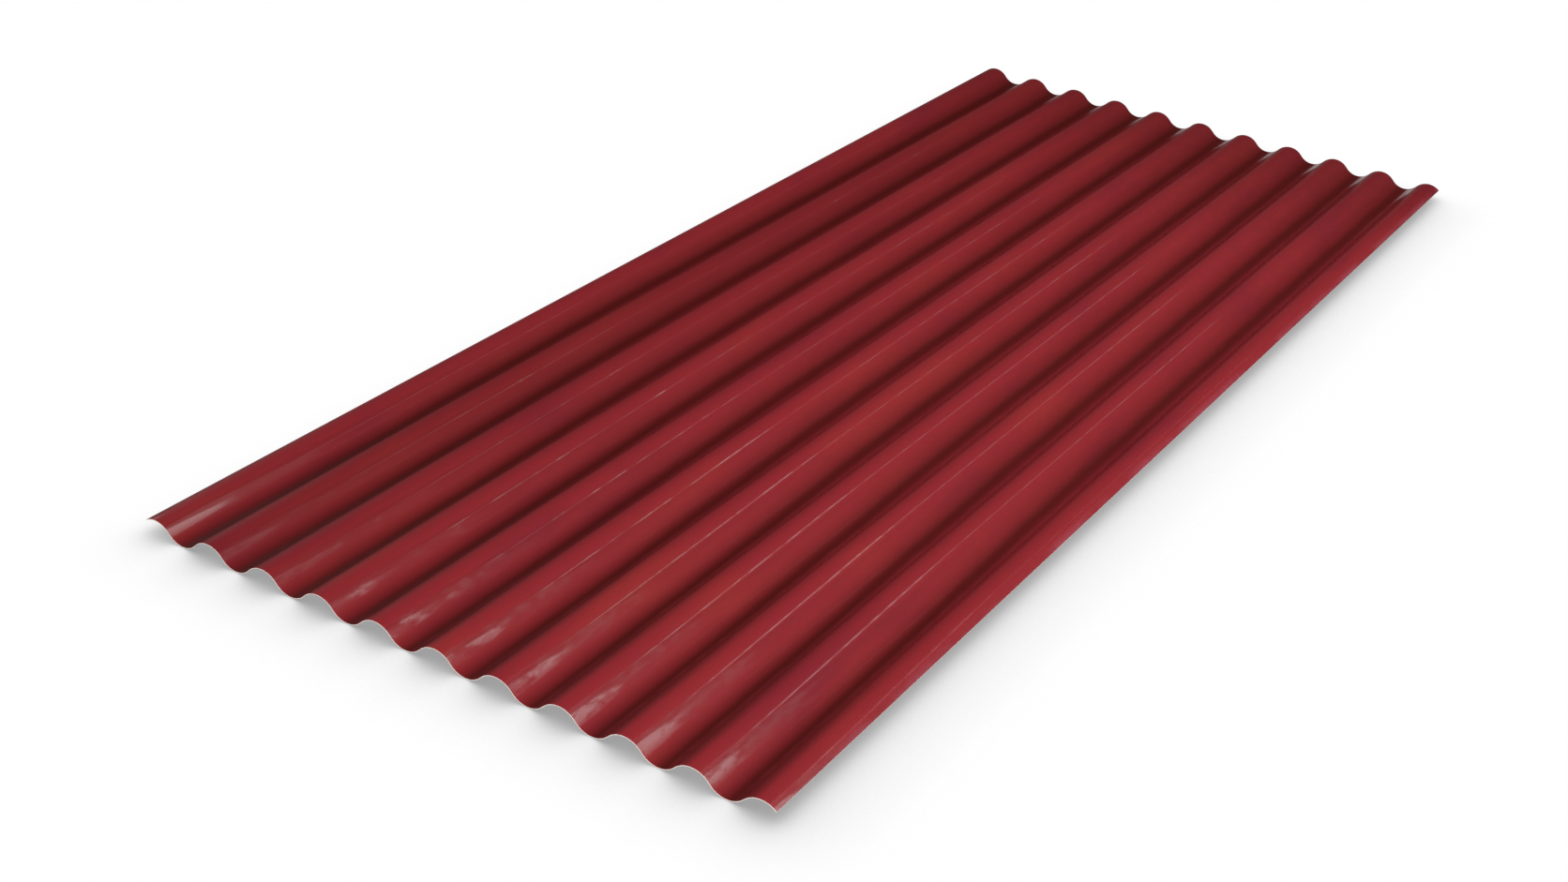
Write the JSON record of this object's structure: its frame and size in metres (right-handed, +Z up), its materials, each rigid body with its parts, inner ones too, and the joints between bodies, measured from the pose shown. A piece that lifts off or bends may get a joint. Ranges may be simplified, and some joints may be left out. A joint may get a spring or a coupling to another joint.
{
  "type": "corrugated roof sheet",
  "caption": "Painted steel roof sheet rolled into round waves along its length, with a turned-down lip along each side.",
  "frame": {"origin": "under the middle of the sheet, at the level that its troughs rest on", "axes": "+X across the waves towards the wider lip, +Y along the waves, +Z up out of the painted face"},
  "size_m": [0.7904, 1.9, 0.0183],
  "materials": {
    "painted_steel": "satin dark red paint on the upper face, pale grey backing coat underneath"
  },
  "bodies": {
    "root": {"roof_sheet": "painted_steel"}
  },
  "joints": []
}
